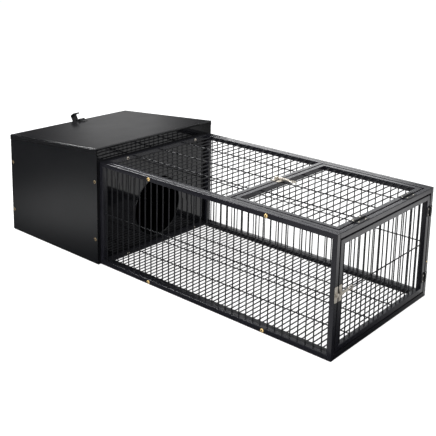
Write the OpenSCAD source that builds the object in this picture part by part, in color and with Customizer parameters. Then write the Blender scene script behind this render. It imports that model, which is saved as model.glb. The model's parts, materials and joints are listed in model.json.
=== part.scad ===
// Small-animal hutch: a sheet-steel nest box with a hinged lid at one end of a
// welded wire run that has a door in its top and a door in its end.
// Millimetres, +Z up, +X from the nest box towards the end door.

/* [Run] */
// Length of the wire run
run_l = 885; // [600:5:1200]
// Width of the wire run
run_w = 520; // [400:5:700]
// Height of the wire run
run_h = 345; // [300:5:450]
// Side of the square tube
tube = 15; // [12:1:20]
// Wall of the square tube
tube_wall = 1; // [0.8:0.1:1.5]
// Distance from the nest box to the near side of the cross bar in the top
cross_bar_x = 500; // [250:5:600]
// Running gap around each door
door_gap = 4; // [3:0.5:6]

/* [Wire] */
// Diameter of the wire
wire_d = 3.6; // [1.6:0.1:4]
// Pitch of the wires in the side panels and the end door
wall_pitch = 25; // [20:1:35]
// How far the side panels' wires are shifted towards the nest box
side_shift = 5; // [-8:1:8]
// Pitch of the wires in the fixed part of the top
top_pitch = 27.6; // [20:0.1:35]
// Pitch of the wires in the top door
top_door_pitch = 24.7; // [20:0.1:35]
// Pitch of the wires in the floor
floor_pitch = 16.6; // [10:0.1:20]
// Depth of the top wires below the top of the tubes
top_wire_depth = 4.5; // [3:0.5:10]
// Depth of the floor wires below the top of the tubes
floor_wire_depth = 2.5; // [2:0.5:10]

/* [Nest box] */
// Length of the nest box
nest_l = 460; // [300:5:600]
// How far the nest box stands out past the run at front and rear
nest_proud = 12; // [6:1:25]
// Height of the lid at the far end of the nest box
nest_low = 351; // [300:1:450]
// Height of the lid where the nest box meets the run
nest_high = 389; // [360:1:500]
// Thickness of the sheet steel
sheet = 1; // [0.8:0.1:1.5]
// Width of the folded edges inside the nest box
flange = 18; // [12:1:25]
// Diameter of the doorway between nest box and run
doorway_d = 212; // [120:2:240]
// Height of the centre of the doorway
doorway_z = 133; // [115:1:180]
// Depth of the rim folded down around the lid
lid_rim = 16; // [10:1:25]
// Gap between the lid's rim and the walls
lid_gap = 0.8; // [0.5:0.1:2]

/* [Hinges] */
// Diameter of the lid's long hinge barrel
lid_barrel_d = 6; // [5:0.5:8]
// Number of knuckles on the lid's hinge
lid_knuckles = 9; // [5:2:13]
// Length of the hinges on the top door
top_hinge_l = 56; // [30:2:80]
// Distance of each top hinge from the middle of the run
top_hinge_y = 130; // [80:5:180]
// Length of the hinges on the end door
end_hinge_l = 30; // [20:2:60]
// Heights of the two hinges on the end door
end_hinge_z = [65, 275]; // [40:5:310]
// Width of a door hinge leaf
leaf_w = 13; // [10:0.5:14]
// Thickness of a door hinge leaf
leaf_t = 1.2; // [0.8:0.1:2]
// Diameter of a door hinge barrel
barrel_d = 5; // [4:0.5:7]
// Diameter of every hinge pin
pin_d = 2.4; // [2:0.1:3]
// Running clearance around a pin, on the radius
pin_fit = 0.05; // [0.02:0.01:0.1]

/* [Slide bolts] */
// Length of a bolt's base plate and keeper plate
bolt_plate_l = 44; // [30:2:60]
// Diameter of the bolt's rod
bolt_d = 6; // [4:0.5:8]
// Length of the rod and its loop handle
bolt_l = 62; // [50:1:80]
// Length of the loop handle
loop_l = 24; // [16:1:30]
// Height of the end door's bolt
end_bolt_z = 183; // [100:1:250]

/* [Lid latch] */
// Place of the latch across the nest box
latch_y = 30; // [-60:5:60]
// Width of the latch
latch_w = 32; // [18:1:40]
// Height of the lever's pivot below the lid's edge
latch_drop = 28; // [26:1:40]
// Length of the lever
lever_l = 32; // [25:1:45]
// Distance between the lever's pivot and the claw's pivot
crank = 8; // [6:0.5:12]
// Outward lean of the claw when it is released
claw_lean = 33; // [28:1:40]

/* [Screws] */
// Head diameter of the brass screws
screw_head_d = 11; // [8:0.5:13]
// Head height of the brass screws
screw_head_h = 2.2; // [1.5:0.1:3]

// Places across the run of the screws that join it to the nest box
joining_screw_y = [-152, 172]; // [-220:1:220]

/* [Hidden] */

black = "#17181a";
gloss_black = "#101114";
zinc = "#b9b4a6";
brass = "#c9a24a";

// Square holes for the screws' drive and the reach of the parts that stick out
screw_shank_d = 4;
rivet_head_d = 4.4;
rivet_head_h = 0.9;
rivet_shank_d = 3;
pivot_u = 6;
lever_roll_r = 2;
latch_reach = pivot_u + lever_l + lever_roll_r;
bolt_height = 9.6;
bolt_axis = leaf_t + bolt_d / 2 + 0.8;

// Places along X: the nest box ends where the run begins
x_join = (nest_l + latch_reach - run_l - bolt_height) / 2;
x_nest = x_join - nest_l;
x_end = x_join + run_l;
nest_w = run_w + 2 * nest_proud;

// Lid: it turns about a barrel let into the top right edge of the nest box
barrel_r = lid_barrel_d / 2;
lid_axis = [x_join - barrel_r, 0, nest_high - barrel_r];
lid_slope = atan((nest_high - nest_low) / nest_l);
lid_l = (nest_l - barrel_r + lid_gap + (lid_rim - barrel_r) * sin(lid_slope)) / cos(lid_slope) + sheet;
lid_w = nest_w + 2 * (lid_gap + sheet);
wall_top_gap = 0.4;
knuckle_gap = 0.4;
lid_hinge_l = nest_w - 4 * sheet;

// Doors: the top door lies between the cross bar and the end rail of the top
top_door_x = [x_join + cross_bar_x + tube + door_gap, x_end - tube - door_gap];
top_door_w = run_w - 4 * tube - 2 * door_gap;
end_door_z = [tube + door_gap, run_h - tube - door_gap];
end_door_w = run_w - 2 * tube - 2 * door_gap;
barrel_lift = barrel_d / 2 + 0.3;
top_axis = [x_end - tube - door_gap / 2, 0, run_h + barrel_lift];
end_axis = [x_end + barrel_lift, run_w / 2 - tube - door_gap / 2, 0];
top_bolt_y = -6;

// Latch: the crank from pivot to claw stands at these angles above the horizontal
crank_open = 65;
crank_closed = -25;
latch_z = nest_low - latch_drop;
claw_reach = pivot_u + crank * cos(crank_closed) + 11.2;
claw_rise = latch_drop - crank * sin(crank_closed) + 8;

// ---------- shared shapes ----------

// Square tube of length l along X with both ends mitred at 45 degrees
module mitred_tube(l) {
    difference() {
        linear_extrude(tube) polygon([[0, 0], [l, 0], [l - tube, tube], [tube, tube]]);
        translate([-1, tube_wall, tube_wall]) cube([l + 2, tube - 2 * tube_wall, tube - 2 * tube_wall]);
    }
}

// Square tube of length l along Y with both ends cut square
module square_tube(l) {
    difference() {
        cube([tube, l, tube]);
        translate([tube_wall, -1, tube_wall]) cube([tube - 2 * tube_wall, l + 2, tube - 2 * tube_wall]);
    }
}

// Rectangle of four mitred tubes, l by w, lying on the XY plane
module tube_frame(l, w) {
    mitred_tube(l);
    translate([l, w, 0]) rotate([0, 0, 180]) mitred_tube(l);
    translate([0, w, 0]) rotate([0, 0, -90]) mitred_tube(w);
    translate([l, 0, 0]) rotate([0, 0, 90]) mitred_tube(w);
}

// Welded wires that fill l by w: close wires along Y and a few wires across them
module wire_grid(l, w, pitch, cross_wires, shift = 0) {
    count = floor(l / pitch);
    first = (l - (count - 1) * pitch) / 2 - shift;
    for (i = [0 : count - 1])
        translate([first + i * pitch, 0, 0]) rotate([-90, 22.5, 0]) cylinder(h = w, d = wire_d, $fn = 8);
    for (j = [1 : cross_wires])
        translate([0, j * w / (cross_wires + 1), -wire_d * 0.8])
            rotate([0, 90, 0]) rotate([0, 0, 22.5]) cylinder(h = l, d = wire_d, $fn = 8);
}

// Stands a shape drawn on the XY plane up so that its Y becomes Z and it faces -Y
module upright() {
    rotate([90, 0, 0]) children();
}

// Button-head screw: head outwards along +Z from the origin, shank the other way
module screw(shank) {
    difference() {
        cylinder(h = screw_head_h, d1 = screw_head_d, d2 = screw_head_d * 0.62, $fn = 40);
        translate([0, 0, screw_head_h - 1.1]) cylinder(h = 2, d = 4.2, $fn = 6);
    }
    translate([0, 0, -shank]) cylinder(h = shank, d = screw_shank_d, $fn = 32);
}

// Rivet: low head outwards along +Z from the origin, shank the other way
module rivet(shank) {
    cylinder(h = rivet_head_h, d1 = rivet_head_d, d2 = rivet_head_d * 0.6, $fn = 32);
    translate([0, 0, -shank]) cylinder(h = shank, d = rivet_shank_d, $fn = 24);
}

// Alternate knuckles of a hinge along Z: parity 0 takes both ends, parity 1 the rest
module knuckles(total, count, parity, d) {
    step = total / count;
    difference() {
        for (i = [parity : 2 : count - 1])
            translate([0, 0, i * step + knuckle_gap / 2]) cylinder(h = step - knuckle_gap, d = d, $fn = 40);
        translate([0, 0, -1]) cylinder(h = total + 2, r = pin_d / 2 + pin_fit, $fn = 32);
    }
}

// Surface-mounted leaf: plate towards +X, barrel on the Z axis, mounting face at y = -lift
module surface_leaf(total, count, parity) {
    step = total / count;
    clear = barrel_d / 2 + 0.5;
    knuckles(total, count, parity, barrel_d);
    translate([clear, -barrel_lift, 0]) cube([leaf_w - clear + door_gap / 2, leaf_t, total]);
    for (i = [parity : 2 : count - 1])
        translate([pin_d / 2 + 0.4, -barrel_lift, i * step + knuckle_gap / 2])
            cube([clear - pin_d / 2, leaf_t, step - knuckle_gap]);
}

// ---------- run ----------

module side_frame() {
    upright() tube_frame(run_l, run_h);
}

module side_mesh() {
    translate([tube, -tube / 2, tube])
        upright() wire_grid(run_l - 2 * tube, run_h - 2 * tube, wall_pitch, 1, side_shift);
}

module front_panel_frame() {
    color(black) translate([x_join, -run_w / 2 + tube, 0]) side_frame();
}

module front_panel_mesh() {
    color(black) translate([x_join, -run_w / 2 + tube, 0]) side_mesh();
}

module rear_panel_frame() {
    color(black) mirror([0, 1, 0]) translate([x_join, -run_w / 2 + tube, 0]) side_frame();
}

module rear_panel_mesh() {
    color(black) mirror([0, 1, 0]) translate([x_join, -run_w / 2 + tube, 0]) side_mesh();
}

module floor_panel_frame() {
    color(black) translate([x_join, -run_w / 2 + tube, 0]) tube_frame(run_l, run_w - 2 * tube);
}

module floor_panel_mesh() {
    color(black) translate([x_join + tube, -run_w / 2 + 2 * tube, tube - floor_wire_depth])
        wire_grid(run_l - 2 * tube, run_w - 4 * tube, floor_pitch, 3);
}

module top_panel_frame() {
    color(black) translate([x_join, -run_w / 2 + tube, run_h - tube]) {
        tube_frame(run_l, run_w - 2 * tube);
        translate([cross_bar_x, tube, 0]) square_tube(run_w - 4 * tube);
    }
}

module top_panel_mesh() {
    color(black) translate([x_join + tube, -run_w / 2 + 2 * tube, run_h - top_wire_depth])
        wire_grid(cross_bar_x - tube, run_w - 4 * tube, top_pitch, 3);
}

module panel_screws() {
    color(brass) for (side = [-1, 1], along = [1 / 4, 3 / 4], z = [tube / 2, run_h - tube / 2])
        translate([x_join + run_l * along, side * run_w / 2, z])
            rotate([side * -90, 0, 0]) screw(tube + tube_wall + 3);
}

module rear_post_screw() {
    color(brass) translate([x_end, run_w / 2 - tube / 2, 113]) rotate([0, 90, 0]) rivet(tube_wall + 3);
}

module run_joining_screws() {
    color(zinc) for (y = joining_screw_y, z = [tube / 2, run_h - tube / 2])
        translate([x_join + tube, y, z]) rotate([0, 90, 0]) screw(tube + sheet);
}

// ---------- nest box ----------

// Height of the underside of the closed lid above the point x
function lid_under(x) = lid_axis[2] + (barrel_r - sheet) / cos(lid_slope)
    - (lid_axis[0] - x) * tan(lid_slope) - wall_top_gap;

module long_wall() {
    upright() linear_extrude(sheet) polygon([
        [x_nest, 0], [x_join, 0], [x_join, lid_under(x_join)], [x_nest, lid_under(x_nest)]
    ]);
    translate([x_nest, -sheet, 0]) cube([nest_l, flange, sheet]);
}

module nest_front_wall() {
    color(gloss_black) translate([0, -nest_w / 2 + sheet, 0]) long_wall();
}

module nest_rear_wall() {
    color(gloss_black) mirror([0, 1, 0]) translate([0, -nest_w / 2 + sheet, 0]) long_wall();
}

// End wall of height h on the YZ plane, with flanges folded towards +X at both sides
module end_wall(h) {
    inside = nest_w - 2 * sheet;
    translate([0, -inside / 2, sheet]) cube([sheet, inside, h - sheet]);
    for (side = [-1, 1])
        translate([sheet, side * (inside - sheet) / 2 - sheet / 2, sheet])
            cube([flange, sheet, h - sheet]);
}

module nest_left_wall() {
    color(gloss_black) translate([x_nest, 0, 0]) end_wall(lid_under(x_nest));
}

module nest_right_wall() {
    color(gloss_black) difference() {
        translate([x_join, 0, 0]) mirror([1, 0, 0]) end_wall(lid_axis[2] - barrel_r - 0.6);
        translate([x_join - sheet - 1, 0, doorway_z]) rotate([0, 90, 0]) cylinder(h = sheet + 2, d = doorway_d, $fn = 96);
    }
}

module nest_floor_tray() {
    clear = 2 * sheet + 0.4;
    l = nest_l - 2 * sheet - 0.8;
    w = nest_w - 2 * clear;
    lip = 12;
    color(gloss_black) translate([x_nest + sheet + 0.4, -w / 2, sheet]) difference() {
        cube([l, w, lip]);
        translate([sheet, sheet, sheet]) cube([l - 2 * sheet, w - 2 * sheet, lip]);
    }
}

module nest_wall_screws() {
    inset = flange / 2 + sheet;
    color(brass) for (side = [-1, 1], z = [0.22, 0.72])
        for (end = [[x_nest + inset, lid_under(x_nest)], [x_join - inset, lid_under(x_join)]])
            translate([end[0], side * nest_w / 2, end[1] * z])
                rotate([side * -90, 0, 0]) screw(2 * sheet + 4);
}

// ---------- lid ----------

// Puts a shape drawn about the hinge axis, with a level lid, in its place on the nest box
module on_lid() {
    translate(lid_axis) rotate([0, -lid_slope, 0]) children();
}

module lid_panel() {
    edge = barrel_r + 0.6;
    color(gloss_black) on_lid() {
        translate([-lid_l, -lid_w / 2, barrel_r - sheet]) cube([lid_l - edge, lid_w, sheet]);
        translate([-lid_l, -lid_w / 2, barrel_r - lid_rim]) cube([sheet, lid_w, lid_rim]);
        for (side = [-1, 1])
            translate([-lid_l, side * (lid_w - sheet) / 2 - sheet / 2, barrel_r - lid_rim])
                cube([lid_l + barrel_r - 1, sheet, lid_rim]);
    }
}

module lid_hinge_fixed_leaf() {
    step = lid_hinge_l / lid_knuckles;
    leaf_top = -barrel_r - 0.6;
    color(gloss_black) translate(lid_axis) {
        translate([0, -lid_hinge_l / 2, 0]) rotate([-90, 0, 0]) knuckles(lid_hinge_l, lid_knuckles, 0, lid_barrel_d);
        translate([barrel_r - 2 * sheet, -lid_hinge_l / 2 + flange, leaf_top - 18])
            cube([sheet, lid_hinge_l - 2 * flange, 18]);
        for (i = [0 : 2 : lid_knuckles - 1])
            translate([barrel_r - 2 * sheet, -lid_hinge_l / 2 + i * step + knuckle_gap / 2 + (i == 0 ? flange : 0), leaf_top])
                cube([sheet, step - knuckle_gap - (i == 0 || i == lid_knuckles - 1 ? flange : 0), barrel_r]);
    }
}

module lid_hinge_moving_leaf() {
    step = lid_hinge_l / lid_knuckles;
    inner = -barrel_r - 0.6;
    leaf_z = barrel_r - 2 * sheet;
    color(gloss_black) on_lid() {
        translate([0, -lid_hinge_l / 2, 0]) rotate([-90, 0, 0]) knuckles(lid_hinge_l, lid_knuckles, 1, lid_barrel_d);
        translate([inner - 18, -lid_hinge_l / 2 + 2 * flange, leaf_z]) cube([18, lid_hinge_l - 4 * flange, sheet]);
        for (i = [1 : 2 : lid_knuckles - 1])
            translate([inner, -lid_hinge_l / 2 + i * step + knuckle_gap / 2, leaf_z])
                cube([barrel_r - 0.4, step - knuckle_gap, sheet]);
    }
}

module lid_hinge_pin() {
    color(zinc) translate(lid_axis) translate([0, -lid_hinge_l / 2, 0])
        rotate([-90, 0, 0]) cylinder(h = lid_hinge_l, d = pin_d, $fn = 32);
}

// Draws a profile given as [outwards, up] about the latch's own plane, w wide across it
module latch_profile(w) {
    translate([x_nest, latch_y + w / 2, latch_z]) rotate([90, 0, 0]) mirror([1, 0, 0]) linear_extrude(w) children();
}

// Lid catch: a plate with a ridge that the claw hooks over and a high pressed bow behind it
module lid_catch() {
    foot = 44;
    w = 24;
    bow_at = 15;
    color(black) on_lid() translate([-lid_l + 2, latch_y - w / 2, barrel_r]) {
        cube([foot, w, leaf_t]);
        translate([0, w, 0]) rotate([90, 0, 0]) linear_extrude(w) {
            translate([4, leaf_t / 2]) polygon([[0, 0], [1, 3.8], [3.2, 4.4], [5.4, 3.8], [6.4, 0]]);
            translate([bow_at, leaf_t / 2])
                polygon([[0, 0], [1.5, 5], [4, 8], [7.5, 9], [11, 8.4], [14.5, 5.5], [17.5, 0]]);
        }
    }
}

module lid_catch_rivets() {
    color(black) on_lid() for (y = [-5.5, 5.5])
        translate([-lid_l + 40, latch_y + y, barrel_r + leaf_t]) rivet(leaf_t + sheet);
}

module latch_base() {
    ear = 1.6;
    inner = latch_w / 2 - 3;
    color(black) difference() {
        union() {
            latch_profile(latch_w - 6) polygon([[0, -26], [leaf_t, -26], [leaf_t, 6], [0, 6]]);
            for (side = [-1, 1]) translate([0, side * (inner - ear / 2), 0])
                latch_profile(ear) polygon([[0, -8], [pivot_u + 3, -5], [pivot_u + 3, 4], [0, 6]]);
        }
        translate([x_nest - pivot_u, latch_y - latch_w, latch_z])
            rotate([-90, 0, 0]) cylinder(h = 2 * latch_w, r = pin_d / 2 + pin_fit, $fn = 32);
    }
}

module latch_base_rivets() {
    color(black) for (z = [-22, -13]) translate([x_nest - leaf_t, latch_y, latch_z + z])
        rotate([0, -90, 0]) rivet(leaf_t + sheet);
}

module latch_lever_pin() {
    color(zinc) translate([x_nest - pivot_u, latch_y - latch_w / 2 - 0.6, latch_z])
        rotate([-90, 0, 0]) cylinder(h = latch_w + 1.2, d = pin_d, $fn = 32);
}

// Lever: two cheeks outside the base's ears, joined by a flat handle with a rolled end
module latch_lever() {
    cheek = 1.6;
    claw_pin_at = [pivot_u + crank * cos(crank_open), crank * sin(crank_open)];
    color(black) difference() {
        union() {
            for (side = [-1, 1]) translate([0, side * (latch_w - cheek) / 2, 0]) latch_profile(cheek)
                polygon([[pivot_u - 3, -3], [pivot_u + 15, -3], [pivot_u + 15, 1],
                    claw_pin_at + [4, 0], claw_pin_at + [2, 3], claw_pin_at + [-2, 3], [pivot_u - 3, 2]]);
            latch_profile(latch_w) translate([pivot_u + 13, -3]) square([lever_l - 13, 1.6]);
            latch_profile(latch_w) translate([pivot_u + lever_l, -1]) circle(r = lever_roll_r, $fn = 32);
        }
        for (at = [[pivot_u, 0], claw_pin_at])
            translate([x_nest - at[0], latch_y - latch_w, latch_z + at[1]])
                rotate([-90, 0, 0]) cylinder(h = 2 * latch_w, r = pin_d / 2 + pin_fit, $fn = 32);
    }
}

// Places a shape drawn about the claw's pivot, in the closed pose, where it rests released
module on_claw() {
    translate([x_nest - pivot_u - crank * cos(crank_open), latch_y, latch_z + crank * sin(crank_open)])
        rotate([0, -claw_lean, 0]) children();
}

module latch_claw_pin() {
    color(zinc) on_claw() translate([0, -latch_w / 2 - 0.6, 0])
        rotate([-90, 0, 0]) cylinder(h = latch_w + 1.2, d = pin_d, $fn = 32);
}

// Claw: a bent strap that rises from its pivot and hooks inwards over the lid's catch
module latch_claw() {
    w = latch_w - 2 * 1.6 - 1.2;
    t = 1.5;
    arm = 5;
    bend = 14;
    lip = 4;
    color(black) on_claw() difference() {
        rotate([90, 0, 0]) translate([0, 0, -w / 2]) linear_extrude(w) {
            circle(r = 2.6, $fn = 32);
            polygon([
                [1.2, 0], [arm + t - 1, bend], [arm + t, claw_rise], [claw_reach, claw_rise],
                [claw_reach, claw_rise - lip], [claw_reach + t, claw_rise - lip],
                [claw_reach + t, claw_rise + t], [arm + t, claw_rise + t], [arm, claw_rise],
                [arm - 1, bend], [-1.2, 0]
            ]);
        }
        translate([0, -w, 0]) rotate([-90, 0, 0]) cylinder(h = 2 * w, r = pin_d / 2 + pin_fit, $fn = 32);
    }
}

// ---------- top door ----------

module top_door_frame() {
    color(black) translate([top_door_x[0], -top_door_w / 2, run_h - tube])
        tube_frame(top_door_x[1] - top_door_x[0], top_door_w);
}

module top_door_mesh() {
    color(black) translate([top_door_x[0] + tube, -top_door_w / 2 + tube, run_h - top_wire_depth])
        wire_grid(top_door_x[1] - top_door_x[0] - 2 * tube, top_door_w - 2 * tube, top_door_pitch, 3);
}

// Puts a hinge drawn along Z, with its mounting face towards -Y, at both top hinges
module at_top_hinges() {
    for (side = [-1, 1])
        translate(top_axis + [0, side * top_hinge_y + top_hinge_l / 2, 0]) rotate([90, 0, 0]) children();
}

module top_hinge_fixed_leaves() {
    color(black) at_top_hinges() surface_leaf(top_hinge_l, 5, 0);
}

module top_hinge_moving_leaves() {
    color(black) at_top_hinges() mirror([1, 0, 0]) surface_leaf(top_hinge_l, 5, 1);
}

module top_hinge_pins() {
    color(zinc) at_top_hinges() cylinder(h = top_hinge_l, d = pin_d, $fn = 32);
}

// ---------- end door ----------

module end_door_frame() {
    color(black) translate([x_end - tube, -end_door_w / 2, end_door_z[0]]) rotate([90, 0, 90])
        tube_frame(end_door_w, end_door_z[1] - end_door_z[0]);
}

module end_door_mesh() {
    color(black) translate([x_end - tube / 2, -end_door_w / 2 + tube, end_door_z[0] + tube]) rotate([90, 0, 90])
        wire_grid(end_door_w - 2 * tube, end_door_z[1] - end_door_z[0] - 2 * tube, wall_pitch, 1);
}

// Puts a hinge drawn along Z, with its mounting face towards -Y, at both end hinges
module at_end_hinges() {
    for (z = end_hinge_z)
        translate(end_axis + [0, 0, z - end_hinge_l / 2]) rotate([0, 0, 90]) children();
}

module end_hinge_fixed_leaves() {
    color(black) at_end_hinges() mirror([0, 1, 0]) surface_leaf(end_hinge_l, 3, 0);
}

module end_hinge_moving_leaves() {
    color(black) at_end_hinges() rotate([0, 0, 180]) surface_leaf(end_hinge_l, 3, 1);
}

module end_hinge_pins() {
    color(zinc) at_end_hinges() cylinder(h = end_hinge_l, d = pin_d, $fn = 32);
}

// ---------- slide bolts: drawn sliding along +X, gap from x = 0, mounting face at z = 0 ----------

// Plate with a strap bridge over the rod; fit is the clearance around the rod
module bolt_plate(fit) {
    w = tube - 2;
    bridge = bolt_d + 2 * fit + 3;
    difference() {
        union() {
            translate([-w / 2, -bolt_plate_l / 2, 0]) cube([w, bolt_plate_l, leaf_t]);
            translate([-w / 2 + 1, -bridge / 2, 0]) cube([w - 2, bridge, bolt_height]);
        }
        translate([-w, 0, bolt_axis]) rotate([0, 90, 0]) cylinder(h = 2 * w, r = bolt_d / 2 + fit, $fn = 40);
    }
}

module bolt_rod() {
    rod = bolt_l - loop_l;
    translate([1 - rod, 0, bolt_axis]) rotate([0, 90, 0]) cylinder(h = rod, d = bolt_d, $fn = 40);
    translate([1 - rod - loop_l, 0, bolt_axis - 1.5]) linear_extrude(3) difference() {
        translate([0, -7]) square([loop_l + 3, 14]);
        translate([4, -4]) square([loop_l - 8, 8]);
    }
}

module at_top_bolt() {
    translate([top_door_x[0], top_bolt_y, run_h]) mirror([1, 0, 0]) children();
}

module top_bolt_base() {
    color(zinc) at_top_bolt() translate([-tube / 2, 0, 0]) bolt_plate(pin_fit);
}

module top_bolt_keeper() {
    color(zinc) at_top_bolt() translate([door_gap + tube / 2, 0, 0]) bolt_plate(0.5);
}

module top_bolt() {
    color(zinc) at_top_bolt() bolt_rod();
}

module at_end_bolt() {
    translate([x_end, -end_door_w / 2, end_bolt_z]) rotate([0, 90, 0]) rotate([0, 0, 90]) mirror([1, 0, 0]) children();
}

module end_bolt_base() {
    color(zinc) at_end_bolt() translate([-tube / 2, 0, 0]) bolt_plate(pin_fit);
}

module end_bolt_keeper() {
    color(zinc) at_end_bolt() translate([door_gap + tube / 2, 0, 0]) bolt_plate(0.5);
}

module end_bolt() {
    color(zinc) at_end_bolt() bolt_rod();
}

// ---------- rivets of the door hardware ----------

// Rivets of one leaf, as wide apart as suits its length
module leaf_rivets(total) {
    for (at = [0.2, 0.8])
        translate([leaf_w / 2 + 2.4, leaf_t - barrel_lift, total * at]) rotate([-90, 0, 0]) rivet(leaf_t + tube_wall);
}

module plate_rivets() {
    for (side = [-1, 1]) translate([0, side * (bolt_plate_l / 2 - 6), leaf_t]) rivet(leaf_t + tube_wall);
}

module fixed_hardware_rivets() {
    color(zinc) {
        at_top_hinges() leaf_rivets(top_hinge_l);
        at_end_hinges() mirror([0, 1, 0]) leaf_rivets(end_hinge_l);
        at_top_bolt() translate([door_gap + tube / 2, 0, 0]) plate_rivets();
        at_end_bolt() translate([door_gap + tube / 2, 0, 0]) plate_rivets();
    }
}

module top_door_rivets() {
    color(zinc) {
        at_top_hinges() mirror([1, 0, 0]) leaf_rivets(top_hinge_l);
        at_top_bolt() translate([-tube / 2, 0, 0]) plate_rivets();
    }
}

module end_door_rivets() {
    color(zinc) {
        at_end_hinges() rotate([0, 0, 180]) leaf_rivets(end_hinge_l);
        at_end_bolt() translate([-tube / 2, 0, 0]) plate_rivets();
    }
}

front_panel_frame();
front_panel_mesh();
rear_panel_frame();
rear_panel_mesh();
floor_panel_frame();
floor_panel_mesh();
top_panel_frame();
top_panel_mesh();
panel_screws();
rear_post_screw();
run_joining_screws();
nest_front_wall();
nest_rear_wall();
nest_left_wall();
nest_right_wall();
nest_floor_tray();
nest_wall_screws();
lid_panel();
lid_hinge_fixed_leaf();
lid_hinge_moving_leaf();
lid_hinge_pin();
lid_catch();
lid_catch_rivets();
latch_base();
latch_base_rivets();
latch_lever_pin();
latch_lever();
latch_claw_pin();
latch_claw();
top_door_frame();
top_door_mesh();
top_hinge_fixed_leaves();
top_hinge_moving_leaves();
top_hinge_pins();
top_bolt_base();
top_bolt_keeper();
top_bolt();
end_door_frame();
end_door_mesh();
end_hinge_fixed_leaves();
end_hinge_moving_leaves();
end_hinge_pins();
end_bolt_base();
end_bolt_keeper();
end_bolt();
fixed_hardware_rivets();
top_door_rivets();
end_door_rivets();
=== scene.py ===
"""Looks for the hutch: detailed pieces, materials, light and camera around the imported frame."""
import json
import math

import bmesh
import bpy
from mathutils import Matrix, Vector

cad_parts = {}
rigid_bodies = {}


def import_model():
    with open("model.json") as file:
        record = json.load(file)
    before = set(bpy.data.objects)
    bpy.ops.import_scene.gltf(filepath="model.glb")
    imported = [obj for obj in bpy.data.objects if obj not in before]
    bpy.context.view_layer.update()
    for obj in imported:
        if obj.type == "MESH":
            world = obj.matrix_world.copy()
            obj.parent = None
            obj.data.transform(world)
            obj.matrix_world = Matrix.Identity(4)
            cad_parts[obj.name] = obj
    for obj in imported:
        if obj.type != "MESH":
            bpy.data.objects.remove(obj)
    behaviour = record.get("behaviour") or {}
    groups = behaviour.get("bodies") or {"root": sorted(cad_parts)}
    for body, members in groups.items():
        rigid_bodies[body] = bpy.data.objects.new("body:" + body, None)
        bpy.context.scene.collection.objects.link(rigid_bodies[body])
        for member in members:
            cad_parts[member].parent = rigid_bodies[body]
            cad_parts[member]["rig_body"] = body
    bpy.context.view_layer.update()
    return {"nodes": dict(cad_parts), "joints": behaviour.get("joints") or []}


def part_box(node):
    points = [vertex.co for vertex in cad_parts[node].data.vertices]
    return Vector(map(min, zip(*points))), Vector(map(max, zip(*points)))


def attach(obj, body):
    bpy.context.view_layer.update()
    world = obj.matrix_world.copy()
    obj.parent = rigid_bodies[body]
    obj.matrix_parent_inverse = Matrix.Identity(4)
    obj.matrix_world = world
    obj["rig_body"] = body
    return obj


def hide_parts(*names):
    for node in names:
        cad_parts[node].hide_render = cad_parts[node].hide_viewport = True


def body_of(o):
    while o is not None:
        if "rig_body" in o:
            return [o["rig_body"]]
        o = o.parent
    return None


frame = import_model()

# Lengths below are in millimetres; pieces are scaled to metres when they are made.
MM = 0.001


def span(node):
    """Lowest and highest corner of a CAD node in millimetres."""
    low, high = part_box(node)
    return low / MM, high / MM


def joint_at(name):
    """Place of a joint in millimetres."""
    for joint in frame["joints"]:
        if joint["name"] == name:
            return Vector(joint["pos_m"]) / MM
    raise ValueError(name)


# Main places, all read from the CAD model
RUN_LOW, RUN_HIGH = span("front_panel_frame")
JOIN_X = RUN_LOW.x
END_X = RUN_HIGH.x
RUN_HALF = -RUN_LOW.y
RUN_H = RUN_HIGH.z
TUBE = RUN_HIGH.y - RUN_LOW.y
NEST_LOW, NEST_HIGH = span("nest_front_wall")
NEST_X = NEST_LOW.x
NEST_HALF = -NEST_LOW.y
LEFT_TOP = span("nest_left_wall")[1].z
RIGHT_TOP = span("nest_right_wall")[1].z
LID_AXIS = joint_at("lid_hinge")
TOP_DOOR_LOW, TOP_DOOR_HIGH = span("top_door_frame")
END_DOOR_LOW, END_DOOR_HIGH = span("end_door_frame")

# Sizes that the CAD model is drawn with
SHEET = 1.0
FLANGE = 18.0
WIRE_R = 1.8
DOORWAY_R = 106.0
DOORWAY_Z = 133.0
CROSS_BAR = 500.0
NEST_L = 460.0
NEST_RIGHT_H = 389.0
NEST_LEFT_H = 351.0
LID_RIM = 16.0
LID_SLOPE = math.atan((NEST_RIGHT_H - NEST_LEFT_H) / NEST_L)


# ---------- mesh helpers ----------

def turn(axis, degrees):
    """Rotation about one axis."""
    return Matrix.Rotation(math.radians(degrees), 4, axis)


def shift(x, y, z):
    """Translation."""
    return Matrix.Translation((x, y, z))


def object_from(name, bm):
    """Puts a new object with this mesh in the scene, and frees bm."""
    mesh = bpy.data.meshes.new(name)
    bm.to_mesh(mesh)
    bm.free()
    obj = bpy.data.objects.new(name, mesh)
    bpy.context.scene.collection.objects.link(obj)
    return obj


def smooth(mesh, angle):
    """Shades a mesh smooth where it bends less than angle."""
    for polygon in mesh.polygons:
        polygon.use_smooth = True
    mesh.set_sharp_from_angle(angle=math.radians(angle))


def scaled_piece(name, bm, materials, body, nodes, angle):
    """Makes a piece of the hutch from a mesh in millimetres."""
    bmesh.ops.transform(bm, matrix=Matrix.Diagonal((MM, MM, MM, 1)), verts=bm.verts)
    obj = object_from(name, bm)
    smooth(obj.data, angle)
    for material in materials:
        obj.data.materials.append(material)
    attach(obj, body)
    if nodes:
        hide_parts(*nodes)
    return obj


def piece(name, bm, materials, body, nodes, angle=32):
    """Solid piece, with its faces turned outwards."""
    bmesh.ops.remove_doubles(bm, verts=bm.verts, dist=1e-4)
    bmesh.ops.recalc_face_normals(bm, faces=bm.faces)
    return even_shading(scaled_piece(name, bm, materials, body, nodes, angle))


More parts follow.
